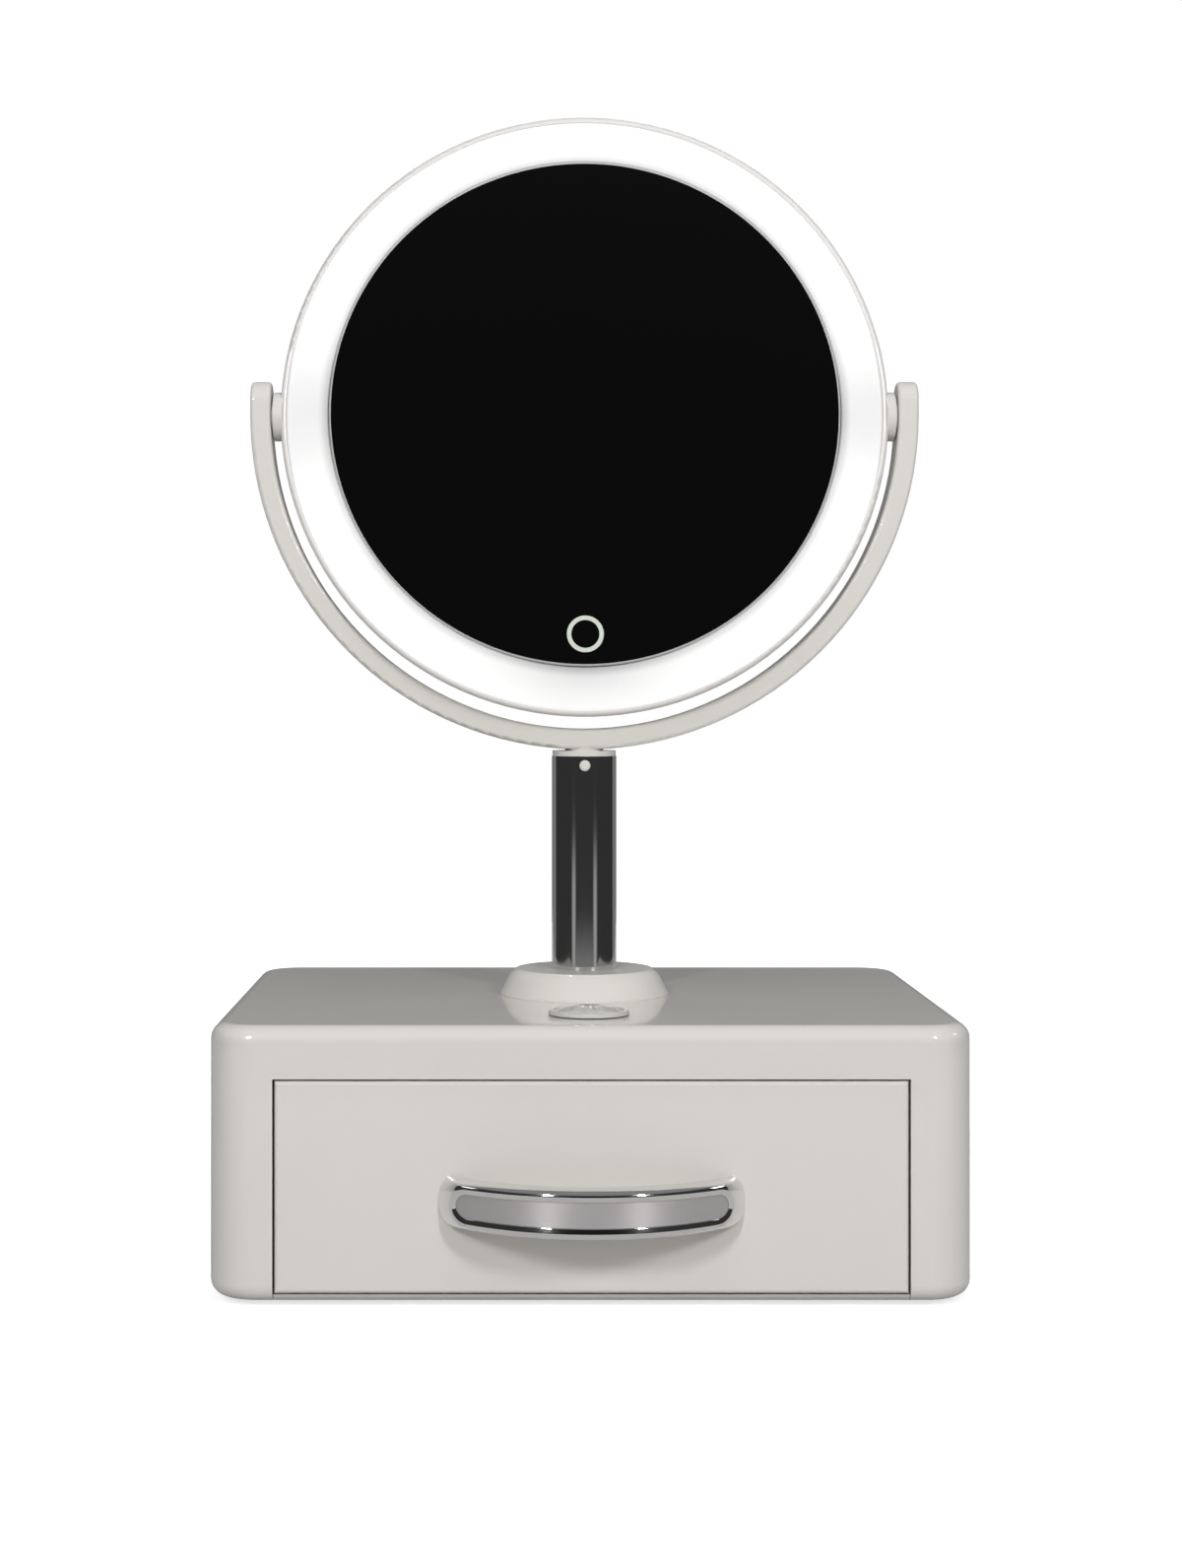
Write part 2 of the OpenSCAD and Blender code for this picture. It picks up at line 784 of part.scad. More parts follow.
// Opal light ring: a face that slopes back from the glass, and a thin flange under the glass
module diffuser() {
    inner = glass_r + 0.5;
    flange = carrier_r + 0.3;
    outer = ring_in_r - 0.1;
    color(opal) in_head() rotate_extrude() polygon([
        [flange, carrier_rim[3]], [inner + 1.5, carrier_rim[3]], [inner + 1.5, ledge_z[1]],
        [outer, ledge_z[1]], [outer, diffuser_front[1] - 0.8], [outer - 0.8, diffuser_front[1]],
        [inner + 0.4, diffuser_front[0]], [inner, diffuser_front[0] - 0.4],
        [inner, glass_back - 0.4], [flange, glass_back - 0.4]
    ]);
}

// Silvered glass with a ground edge and a ring groove at the touch switch
module mirror_glass() {
    bevel = 0.5;
    color("black") in_head() difference() {
        rotate_extrude() polygon([
            [0, glass_back], [glass_r, glass_back], [glass_r, glass_front - bevel],
            [glass_r - bevel, glass_front], [0, glass_front]
        ]);
        translate([0, touch_y, glass_front - touch_mark_t])
            ring(touch_r[1], touch_r[0], touch_mark_t + 1);
    }
}

// Lit ring mark in the glass
module touch_ring() {
    color(opal) in_head() translate([0, touch_y, glass_front - touch_mark_t])
        ring(touch_r[1] - fit, touch_r[0] + fit, touch_mark_t);
}

module touch_sensor() {
    color(copper) in_head() translate([0, touch_y, carrier_z[1] - sensor_t])
        cylinder(r = sensor_r, h = sensor_t);
}

// Plate behind the glass, with a rim under the diffuser and six screw bosses
module carrier_plate() {
    color(white_abs) in_head() difference() {
        union() {
            translate([0, 0, carrier_z[0]])
                cylinder(r = carrier_r, h = carrier_z[1] - carrier_z[0]);
            translate([0, 0, carrier_rim[2]])
                ring(carrier_rim[1], carrier_rim[0], carrier_rim[3] - carrier_rim[2]);
            translate([0, 0, carrier_rim[2]])
                ring(carrier_r, carrier_rim[0], carrier_z[0] - carrier_rim[2] + eps);
            around(6, screw_ring_r) translate([0, 0, ring_back])
                cylinder(r = screw_boss_r, h = carrier_z[0] - ring_back + eps);
        }
        around(6, screw_ring_r) translate([0, 0, ring_back - 1])
            cylinder(r = rear_screw[0] + fit, h = rear_screw[3] + 1);
        translate([0, touch_y, carrier_z[1] - sensor_t])
            cylinder(r = sensor_r + 0.3, h = sensor_t + 1);
    }
}

// White channel behind the diffuser, notched round the pivot bosses
module reflector() {
    wall_top = [carrier_rim[2] - 0.2, ledge_z[0] - 0.2];
    color(white_abs) in_head() difference() {
        rotate_extrude() {
            translate([reflector_r[0], reflector_back])
                square([reflector_r[1] - reflector_r[0], reflector_t]);
            translate([reflector_r[0], reflector_back])
                square([reflector_t, wall_top[0] - reflector_back]);
            translate([reflector_r[1] - reflector_t, reflector_back])
                square([reflector_t, wall_top[1] - reflector_back]);
        }
        pivot_notches(104);
    }
}

// Clearance round the pivot blocks, from a given radius outwards
module pivot_notches(from) {
    for (s = [0, 1]) mirror([s, 0, 0])
        translate([from, -boss_block_r - 1.2, -boss_r])
            cube([head_r - from, 2 * boss_block_r + 2.4, 2 * boss_r]);
}

module led_strip() {
    color(white_abs) in_head() difference() {
        translate([0, 0, reflector_back + reflector_t]) ring(strip_r[1], strip_r[0], strip_t);
        pivot_notches(104);
    }
}

// Diodes on the strip; none sits behind a pivot or at the strip's cable end
module leds() {
    step = 360 / led_count;
    blind = 5.5;
    lit = [
        for (i = [0 : led_count - 1]) let (a = (i + 0.5) * step)
            if (min([for (c = [0, 180, 270, 360]) abs(a - c)]) > blind) a
    ];
    color(opal) in_head() for (a = lit)
        rotate(a) translate([
            (strip_r[0] + strip_r[1] - led_size[0]) / 2,
            -led_size[1] / 2,
            reflector_back + reflector_t + strip_t
        ]) cube(led_size);
}

// ---------- electronics ----------

module board_spots() {
    for (x = [-1, 1], y = [-1, 1])
        translate([x * board_hole_x, board_y + y * board_hole_y, 0]) children();
}

module control_board() {
    color(board_green) in_head() difference() {
        translate([0, board_y, board_z]) plate(board_size, 1.5);
        board_spots() translate([0, 0, board_z - 1]) cylinder(r = 1.3, h = board_size[2] + 2);
    }
}

// Driver chip, inductor, capacitors and the two plugs on the board
module board_parts() {
    face = board_z + board_size[2];
    color([0.15, 0.15, 0.16]) in_head() translate([0, board_y, face]) {
        translate([-4, -3, 0]) cube([8, 6, 1.5]);
        translate([-15, 0, 0]) cylinder(r = 3.5, h = 3.5);
        for (x = [12, 18]) translate([x, 4, 0]) cylinder(r = 2, h = 4.5);
        translate([-3.5, -10.5, 0]) cube([7, 4.5, 4]);
        translate([14, -10.5, 0]) cube([9, 4.5, 4]);
    }
}

module board_screws() {
    color(steel) in_head() board_spots() translate([0, 0, board_z + board_size[2]])
        rotate([180, 0, 0]) pan_head([1.2, 2.3, 1.4, 5]);
}

// Two leads from the battery holder to the board's power plug
module battery_leads() {
    holder_top = holder_y + holder_in[1] / 2 + holder_wall;
    plug_foot = board_y - 10.5;
    color("firebrick") in_head() for (x = [-1.5, 1.5])
        translate([x, holder_top, board_z + board_size[2] + 2]) rotate([-90, 0, 0])
            cylinder(r = 0.8, h = plug_foot - holder_top);
}

// Tray for four cells, open to the back
module battery_holder() {
    outer = [holder_in[0] + 2 * holder_wall, holder_in[1] + 2 * holder_wall];
    color("dimgray") in_head() translate([0, holder_y, 0]) difference() {
        translate([0, 0, ring_back]) plate([outer[0], outer[1], holder_front - ring_back], 1.2);
        translate([0, 0, ring_back - 1])
            plate([holder_in[0], holder_in[1], holder_front - holder_wall - ring_back + 1], 0.6);
    }
}

module cell_row() {
    for (i = [0 : 3]) translate([(i - 1.5) * cell_pitch, 0, cell_z])
        rotate(180 * (i % 2)) children();
}

// Four AA cells laid head to tail
module batteries() {
    color("steelblue") in_head() translate([0, holder_y, 0]) cell_row()
        translate([0, -cell_len / 2, 0]) rotate([-90, 0, 0]) {
            cylinder(r = cell_r, h = cell_len);
            cylinder(r = nub_r, h = cell_len + nub_h);
        }
}

// Flat contacts at the nubs and bent leaf contacts at the flat ends
module battery_contacts() {
    end_y = holder_in[1] / 2;
    nub_y = cell_len / 2 + nub_h;
    leaf_t = 0.4;
    color(steel) in_head() translate([0, holder_y, 0]) cell_row() {
        translate([-4.5, end_y - leaf_t - 0.05, -6]) cube([9, leaf_t, 11]);
        translate([-2.5, nub_y + 0.05, -2.5]) cube([5, end_y - nub_y - 0.1 - leaf_t, leaf_t]);
        translate([-2.5, nub_y + 0.05, -2.5]) cube([5, leaf_t, 5]);
        translate([0, -end_y + 0.05, 0]) {
            translate([-4.5, 0, -6]) cube([9, leaf_t, 11]);
            translate([-2, 0, 0]) rotate([90, 0, 90]) linear_extrude(4) polygon([
                [0.2, -4], [end_y - cell_len / 2 - 0.15, 1], [0.2, 4.5], [0.2, 3.9],
                [end_y - cell_len / 2 - 0.9, 1], [0.2, -3.3]
            ]);
        }
    }
}

// Back disc with a locating lip, posts under the reflector, screw holes and the battery opening
module rear_cover() {
    cover_t = ring_back - cover_back;
    color(ivory) in_head() difference() {
        union() {
            rotate_extrude() {
                translate([0, cover_back]) square([cover_r - cover_round, cover_t]);
                translate([0, cover_back + cover_round])
                    square([cover_r, cover_t - cover_round]);
                intersection() {
                    translate([cover_r - cover_round, cover_back + cover_round]) circle(cover_round);
                    translate([cover_r - cover_round - 1, cover_back])
                        square([cover_round + 1, cover_t]);
                }
                translate([cover_r - ring_wall - 2.6, ring_back - eps]) square([2.4, 2.5]);
            }
            around(6, post_ring_r, 30) translate([0, 0, ring_back - eps])
                cylinder(r = 2.5, h = reflector_back - ring_back + eps);
            board_spots() translate([0, 0, ring_back - eps])
                cylinder(r = 3, h = board_z - ring_back + eps);
        }
        around(6, screw_ring_r) translate([0, 0, cover_back]) countersunk(rear_screw, 0.15);
        board_spots() translate([0, 0, board_z - 3.8]) cylinder(r = 1.2 + fit, h = 6);
        translate([0, holder_y, cover_back - 1]) plate([door_open[0], door_open[1], cover_t + 2], 2);
        // Thumb scoop at the door's lower edge
        translate([0, holder_y - door_open[1] / 2, cover_back - 4]) sphere(r = 5);
    }
}

module rear_screws() {
    color(steel) in_head() around(6, screw_ring_r) translate([0, 0, cover_back])
        countersunk(rear_screw);
}

// Lift-off door, flush in the back, resting on the holder's walls
module battery_door() {
    door_t = ring_back - cover_back;
    color(ivory) in_head() translate([0, holder_y, cover_back]) difference() {
        plate([door_open[0] - 2 * door_gap, door_open[1] - 2 * door_gap, door_t - running], 1.7);
        for (i = [-2 : 2]) translate([-9, 18 + i * 1.8, -0.5]) rotate([0, 90, 0])
            cylinder(r = 0.9, h = 18);
    }
}

// ---------- pivots ----------

module pivot_pins() {
    color(steel) in_head() for (s = [0, 1]) mirror([s, 0, 0])
        translate([pin_inner_x, 0, 0]) rotate([0, 90, 0])
            cylinder(r = pin_r, h = pin_end_x - pin_inner_x);
}

// Thin acetal washers between the bosses and the yoke's arms
module friction_washers() {
    color(white_abs) in_head() for (s = [0, 1]) mirror([s, 0, 0])
        translate([boss_face_x, 0, 0]) rotate([0, 90, 0])
            ring(washer_out_r, pin_r + fit, tilt_washer_t);
}

cabinet();
base_panel();
base_screws();
feet();
drawer_glides();
drawer_stop();
rear_bumpers();
collar();
medallion();
post_tube();
post_plug();
stiffener_plate();
post_washer();
post_bolt();
yoke();
snap_button();
button_spring();
drawer_front();
drawer_side_left();
drawer_side_right();
drawer_back();
drawer_bottom();
drawer_liner();
handle_bow();
handle_inlay();
handle_screws();
head_ring();
diffuser();
mirror_glass();
touch_ring();
touch_sensor();
carrier_plate();
reflector();
led_strip();
leds();
control_board();
board_parts();
board_screws();
battery_leads();
battery_holder();
battery_contacts();
batteries();
rear_cover();
rear_screws();
battery_door();
pivot_pins();
friction_washers();
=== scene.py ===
import math

import bmesh
import bpy
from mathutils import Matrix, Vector


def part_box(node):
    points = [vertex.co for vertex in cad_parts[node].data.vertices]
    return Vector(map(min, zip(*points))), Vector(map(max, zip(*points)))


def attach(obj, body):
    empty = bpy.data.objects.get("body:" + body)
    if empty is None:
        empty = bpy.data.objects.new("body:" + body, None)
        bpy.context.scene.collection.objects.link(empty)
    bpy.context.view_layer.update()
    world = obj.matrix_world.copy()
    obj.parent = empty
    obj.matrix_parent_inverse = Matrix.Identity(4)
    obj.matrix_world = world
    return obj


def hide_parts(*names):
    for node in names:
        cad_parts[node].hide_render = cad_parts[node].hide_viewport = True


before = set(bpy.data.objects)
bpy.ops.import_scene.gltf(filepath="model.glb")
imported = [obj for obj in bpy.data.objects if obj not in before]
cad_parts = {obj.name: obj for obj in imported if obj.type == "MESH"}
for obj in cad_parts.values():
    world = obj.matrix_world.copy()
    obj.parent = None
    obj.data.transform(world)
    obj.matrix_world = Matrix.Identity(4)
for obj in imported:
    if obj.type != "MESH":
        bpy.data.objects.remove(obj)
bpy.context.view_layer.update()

# Places that the CAD part gives, in metres
PIVOT_Z = 0.3407
LEAN = math.radians(5.5)
GLASS_R = 0.104
DIFFUSER_R = (0.1045, 0.1217)
FRONT_Y = -0.106
BASE_TOP = 0.104
MEDAL_Y = -0.069

# Medallion: flutes, and the groove inside its rim
FLUTES = 12
GROOVE_R = 0.0130
GROOVE_HALF = 0.0007

# Bow handle, as the CAD strap but with finer steps. Its front is a cylinder round an upright axis.
HANDLE_LEN = 0.1154
HANDLE_H = 0.0194
HANDLE_Z = 0.0398
HANDLE_REACH = 0.0285
BOW_R = (HANDLE_LEN ** 2 / 4 + HANDLE_REACH ** 2) / (2 * HANDLE_REACH)
BOW_Y = FRONT_Y - HANDLE_REACH + BOW_R
STRAP_T = 0.005
TIP_RUN = 0.003
CORNER = 0.009
CORNER_LOSS = 0.97
BELLY = 0.0003

# Its rim, from the outline inwards: distance of the crest and the width, the inner slope's and the
# recess's depth, the shoulder's first and last steepness in degrees, its radius and where it starts
RIM_CREST = 0.0031
RIM_W = 0.005
RIM_STRETCH = 1.87
SLOPE_DEEP = 0.0006
RECESS = 0.0016
FLANK = 72
SLOPE = 18.5
SHOULDER_R = 0.0026
SHOULDER_AT = (0.0009, 0.0018)

# Its legs: distance out from the drawer front and radius there, and where they enter the strap
LEG_X = 0.048
LEG_FLARE = ((0.0, 0.0058), (0.0005, 0.0058), (0.0010, 0.0053), (0.0018, 0.0047), (0.0026, 0.0046))
LEG_DEPTH = 0.0035
TURNS = [math.tau * i / 48 for i in range(48)]
BOW_STEPS = 88
END_STEPS = 32

# Colours, linear
IVORY = (0.665, 0.641, 0.604)
# Lip of the light ring: a lighter, greyer ivory than the moulded parts, partly its own tone and partly
# painted light from the ring
RIM_IVORY_PAINTED_LIGHTER = (0.680, 0.660, 0.645)
FLOOR_TONE = (0.52, 0.52, 0.52)
LED_WHITE = (1.0, 0.995, 0.985)

# Light: the even fill, and the levels of the room that gloss sees
FILL = 0.21
ROOM = 0.030
PATCH = 0.026
BACKDROP = 0.15
CEILING = 0.19
FOREGROUND = 0.19
STRIP = 0.29

# Camera, from the photograph's vanishing point and scale in pixels
FRAME = (1200, 1592)
FOCAL = 2580
CENTRE = (525.5, 707.0)
CAMERA_AT = (-0.0273, -1.0438, 0.226)


# ---------- node helpers ----------

def wire(tree, target, value):
    """Links a socket into target, or sets target's own value."""
    if isinstance(value, bpy.types.NodeSocket):
        tree.links.new(value, target)
    elif target.type == "RGBA":
        target.default_value = (*value, 1)
    else:
        target.default_value = value


def add(tree, kind, inputs=(), **settings):
    """Adds a shader node, sets its properties and fills its inputs by name or number."""
    made = tree.nodes.new("ShaderNode" + kind)
    for key, value in settings.items():
        setattr(made, key, value)
    for key, value in dict(inputs).items():
        wire(tree, made.inputs[key], value)
    return made


def maths(tree, operation, a, b=0.0):
    return add(tree, "Math", {0: a, 1: b}, operation=operation).outputs[0]


def span(tree, value, low, high, to_low=0.0, to_high=1.0):
    """Value mapped from low..high to to_low..to_high, with soft ends."""
    inputs = {"Value": value, "From Min": low, "From Max": high, "To Min": to_low, "To Max": to_high}
    return add(tree, "MapRange", inputs, interpolation_type="SMOOTHSTEP").outputs["Result"]


def mixed(tree, factor, a, b):
    """Colour between a and b. The colour mix's own sockets are inputs 6 and 7 and output 2."""
    return add(tree, "Mix", {0: factor, 6: a, 7: b}, data_type="RGBA").outputs[2]


def place(tree, stretch=(1, 1, 1)):
    """Object coordinates, stretched along each axis."""
    where = add(tree, "TexCoord").outputs["Object"]
    if stretch == (1, 1, 1):
        return where
    return add(tree, "Mapping", {"Vector": where, "Scale": stretch}).outputs["Vector"]


def noise(tree, where, scale, detail=2.0, rough=0.5):
    inputs = {"Vector": where, "Scale": scale, "Detail": detail, "Roughness": rough}
    return add(tree, "TexNoise", inputs).outputs[0]


def toned(colour, factor):
    return tuple(min(1.0, c * factor) for c in colour)


def material(name):
    made = bpy.data.materials.new(name)
    made.use_nodes = True
    return made, made.node_tree, made.node_tree.nodes["Principled BSDF"]


def dress(tree, shader, colour, rough, height=None, relief=0.0, **fixed):
    """Fills the shader: colour, roughness, a bump of that relief in metres, and fixed values."""
    wire(tree, shader.inputs["Base Color"], colour)
    wire(tree, shader.inputs["Roughness"], rough)
    if height is not None:
        bump = add(tree, "Bump", {"Height": height, "Distance": relief})
        wire(tree, shader.inputs["Normal"], bump.outputs["Normal"])
    for key, value in fixed.items():
        wire(tree, shader.inputs[key.replace("_", " ")], value)


def head_place(tree):
    """Coordinates in the mirror head's own frame: X across, Y up the glass, Z out of it."""
    where = add(tree, "TexCoord").outputs["Object"]
    lifted = add(tree, "VectorMath", {0: where, 1: (0, 0, PIVOT_Z)}, operation="SUBTRACT")
    turned = add(tree, "VectorRotate", {"Vector": lifted.outputs[0]}, rotation_type="X_AXIS")
    wire(tree, turned.inputs["Angle"], LEAN - math.pi / 2)
    return turned.outputs[0]


# ---------- materials ----------

def lacquer(name, colour, rough, peel_scale, peel, coat=1.0):
    """Sprayed or moulded gloss: faint clouds of tone, orange peel, and a clear glossy top."""
    made, tree, shader = material(name)
    where = place(tree)
    cloud = span(tree, noise(tree, where, 9, 3), 0.3, 0.7)
    tone = mixed(tree, cloud, toned(colour, 0.99), toned(colour, 1.008))
    smear = span(tree, noise(tree, where, 26, 3), 0.3, 0.7, rough * 0.94, rough * 1.08)
    dress(
        tree, shader, tone, smear, noise(tree, where, peel_scale), peel,
        IOR=1.3, Coat_Weight=coat, Coat_Roughness=0.05, Coat_IOR=1.45,
    )
    return made


def plastic(name, colour, rough=0.5, grain_scale=1600):
    """Moulded plastic with a fine spark-eroded grain."""
    made, tree, shader = material(name)
    where = place(tree)
    cloud = noise(tree, where, 35, 4)
    tone = mixed(tree, cloud, toned(colour, 0.93), toned(colour, 1.05))
    grain = noise(tree, where, grain_scale, 3)
    dress(
        tree, shader, tone, span(tree, cloud, 0.3, 0.7, rough * 0.85, rough * 1.15), grain,
        0.00003, IOR=1.47,
    )
    return made


def metal(name, colour, rough, stretch, relief=0.000004, haze=0.5, metallic=1.0, **fixed):
    """Bare or plated metal with polishing lines along the axis that stretch shrinks."""
    made, tree, shader = material(name)
    lines = noise(tree, place(tree, stretch), 1, 3, 0.6)
    haze_map = noise(tree, place(tree), 60, 4)
    tone = mixed(tree, haze_map, toned(colour, 0.96), toned(colour, 1.03))
    worn = maths(tree, "ADD", maths(tree, "MULTIPLY", lines, rough * haze), rough * 0.5)
    level = maths(tree, "ADD", worn, maths(tree, "MULTIPLY", haze_map, rough * 0.5))
    dress(tree, shader, tone, level, lines, relief, Metallic=metallic, **fixed)
    return made


def medal(name, colour):
    """Pearly medallion: a grey film left in the rosette's flutes, a darker tone along the groove inside its
    rim, and a painted contact shadow, near black, round its foot.
    """
    made, tree, shader = material(name)
    centre = (0, MEDAL_Y, BASE_TOP)
    local = add(tree, "VectorMath", {0: place(tree), 1: centre}, operation="SUBTRACT").outputs[0]
    parts = add(tree, "SeparateXYZ", {0: local}).outputs
    flat = add(tree, "CombineXYZ", {0: parts[0], 1: parts[1]}).outputs[0]
    radius = add(tree, "VectorMath", {0: flat}, operation="LENGTH").outputs["Value"]
    angle = maths(tree, "ARCTAN2", parts[1], parts[0])
    ripple = maths(tree, "COSINE", maths(tree, "MULTIPLY", angle, FLUTES))
    flute = maths(tree, "MULTIPLY", ripple, -1.0)
    stroke = maths(tree, "MULTIPLY", span(tree, flute, 0.2, 0.9), span(tree, radius, 0.0032, 0.0042))
    film = maths(tree, "MULTIPLY", stroke, span(tree, radius, 0.0090, 0.0112, 0.6, 0.0))
    off_groove = maths(tree, "ABSOLUTE", maths(tree, "SUBTRACT", radius, GROOVE_R))
    groove = span(tree, off_groove, 0.0, GROOVE_HALF, 0.5, 0.0)
    dark = maths(tree, "MAXIMUM", film, groove)
    # Painted contact shadow: the medallion's lowest half millimetre is coloured near black.
    foot = span(tree, parts[2], 0.00025, 0.00050, 1.0, 0.0)
    clean = mixed(tree, noise(tree, local, 220, 4), toned(colour, 0.96), toned(colour, 1.03))
    tone = mixed(tree, foot, mixed(tree, dark, clean, (0.30, 0.29, 0.28)), (0.03, 0.03, 0.03))
    grain = noise(tree, local, 900)
    dress(
        tree, shader, tone, span(tree, dark, 0.0, 1.0, 0.22, 0.40), grain, 0.000003,
        Metallic=0.35, Coat_Weight=0.6, Coat_Roughness=0.05,
    )
    return made


def rubber(name, colour):
    made, tree, shader = material(name)
    where = place(tree)
    dust = span(tree, noise(tree, where, 240, 6, 0.7), 0.45, 0.75)
    tone = mixed(tree, dust, colour, toned(colour, 2.2))
    dress(tree, shader, tone, 0.8, noise(tree, where, 900, 4), 0.00006)
    return made


def felt(name, colour):
    """Flocked felt: short crossing fibres, mottled tone and a soft sheen."""
    made, tree, shader = material(name)
    where = place(tree)
    along = noise(tree, place(tree, (3600, 500, 900)), 1, 4, 0.7)
    across = noise(tree, place(tree, (500, 3600, 900)), 1, 4, 0.7)
    fibre = maths(tree, "MAXIMUM", along, across)
    mottle = noise(tree, where, 45, 5, 0.65)
    fleck = span(tree, maths(tree, "MULTIPLY", fibre, mottle), 0.16, 0.40)
    tone = mixed(tree, fleck, toned(colour, 0.72), toned(colour, 1.35))
    dress(
        tree, shader, tone, 0.95, fibre, 0.0004,
        Sheen_Weight=0.5, Sheen_Roughness=0.4, Sheen_Tint=(0.85, 0.82, 0.82),
    )
    return made


def head_polar(tree):
    """Head-frame X, Y and Z, and the distance from the glass's axis."""
    parts = add(tree, "SeparateXYZ", {0: head_place(tree)}).outputs
    flat = add(tree, "CombineXYZ", {0: parts[0], 1: parts[1]}).outputs[0]
    return parts, add(tree, "VectorMath", {0: flat}, operation="LENGTH").outputs["Value"]


def opal(name):
    """Lit ring: white, weaker next to the glass, at both pivots and round its foot."""
    made, tree, shader = material(name)
    parts, radius = head_polar(tree)
    side = maths(tree, "DIVIDE", maths(tree, "ABSOLUTE", parts[0]), radius)
    down = maths(tree, "DIVIDE", parts[1], maths(tree, "MULTIPLY", radius, -1.0))
    foot = maths(tree, "MAXIMUM", down, 0.0)
    inner, outer = DIFFUSER_R
    near = span(tree, radius, inner, outer, 1.0, 0.3)
    low = maths(tree, "MULTIPLY", maths(tree, "POWER", foot, 18.0), near)
    weak = maths(tree, "MAXIMUM", maths(tree, "POWER", side, 34.0), low)
    edge = span(tree, radius, inner, inner + 0.0045, 0.30, 0.0)
    bloom = maths(tree, "MULTIPLY", noise(tree, head_place(tree), 90, 3), 0.04)
    loss = maths(tree, "ADD", maths(tree, "MULTIPLY", weak, 0.20), edge)
    glow = maths(tree, "SUBTRACT", maths(tree, "ADD", bloom, 0.52), loss)
    # Painted shade: where the glow is weak, at both pivots and round the foot, the diffuser's own colour is
    # darker too.
    dress(
        tree, shader, mixed(tree, weak, (0.52, 0.52, 0.52), (0.45, 0.447, 0.45)), 0.45,
        noise(tree, place(tree), 1500), 0.00001, Emission_Color=LED_WHITE,
    )
    wire(tree, shader.inputs["Emission Strength"], maths(tree, "MAXIMUM", glow, 0.02))
    return made


def rim_glow(made):
    """Painted glow: emission on the lip beside the light ring stands in for the ring's light shining
    through it.
    """
    tree = made.node_tree
    shader = tree.nodes["Principled BSDF"]
    parts, radius = head_polar(tree)
    lip = span(tree, parts[2], 0.0060, 0.0077)
    fade = span(tree, radius, DIFFUSER_R[1], 0.1236, 0.14, 0.0)
    wire(tree, shader.inputs["Emission Color"], LED_WHITE)
    wire(tree, shader.inputs["Emission Strength"], maths(tree, "MULTIPLY", lip, fade))
    return made


def silvered(name):
    """Front of the glass is a mirror; its ground edge is bare glass, faintly green."""
    made, tree, shader = material(name)
    radius = head_polar(tree)[1]
    edge = span(tree, radius, GLASS_R - 0.0009, GLASS_R - 0.0004)
    haze = noise(tree, place(tree), 25, 5)
    silver = mixed(tree, haze, (0.86, 0.875, 0.87), (0.90, 0.91, 0.905))
    tone = mixed(tree, edge, silver, (0.50, 0.53, 0.51))
    dress(tree, shader, tone, span(tree, edge, 0.0, 1.0, 0.004, 0.22))
    wire(tree, shader.inputs["Metallic"], span(tree, edge, 0.0, 1.0, 1.0, 0.0))
    return made


def touch_mark(name):
    """Frosted ring in the glass, lit weakly from behind."""
    made, tree, shader = material(name)
    frost = noise(tree, place(tree), 2400, 3)
    tone = mixed(tree, frost, (0.52, 0.56, 0.49), (0.60, 0.64, 0.57))
    dress(tree, shader, tone, 0.5, frost, 0.00001, Emission_Color=(0.9, 1.0, 0.88))
    wire(tree, shader.inputs["Emission Strength"], span(tree, frost, 0.3, 0.7, 0.02, 0.06))
    return made


def board(name):
    """Green solder mask over fine copper tracks."""
    made, tree, shader = material(name)
    where = head_place(tree)
    cells = add(tree, "TexVoronoi", {"Vector": where, "Scale": 420}, distance="CHEBYCHEV")
    track = span(tree, cells.outputs["Distance"], 0.42, 0.50)
    tone = mixed(tree, track, (0.012, 0.10, 0.045), (0.05, 0.24, 0.11))
    dress(tree, shader, tone, span(tree, track, 0, 1, 0.35, 0.22), track, 0.00003)
    return made


def cell_wrap(name):
    """Shrink wrap of a battery: blue body with a dark band, bare metal at the ends."""
    made, tree, shader = material(name)
    parts = add(tree, "SeparateXYZ", {0: head_place(tree)}).outputs
    along = maths(tree, "ABSOLUTE", maths(tree, "ADD", parts[1], 0.015))
    band = span(tree, along, 0.0150, 0.0152)
    bare = span(tree, along, 0.0236, 0.0238)
    scuff = noise(tree, place(tree), 300, 5)
    wrap = mixed(tree, band, (0.03, 0.12, 0.34), (0.02, 0.022, 0.03))
    tone = mixed(tree, bare, wrap, (0.62, 0.62, 0.62))
    dress(tree, shader, tone, span(tree, scuff, 0.3, 0.7, 0.18, 0.34), scuff, 0.00001)
    wire(tree, shader.inputs["Metallic"], bare)
    return made


def lit_phosphor(name):
    made, tree, shader = material(name)
    grain = noise(tree, place(tree), 2600, 2)
    tone = mixed(tree, grain, (0.85, 0.72, 0.24), (0.92, 0.82, 0.34))
    dress(tree, shader, tone, 0.4, grain, 0.00001, Emission_Color=(1.0, 0.96, 0.86))
    wire(tree, shader.inputs["Emission Strength"], span(tree, grain, 0.2, 0.8, 0.9, 1.1))
    return made


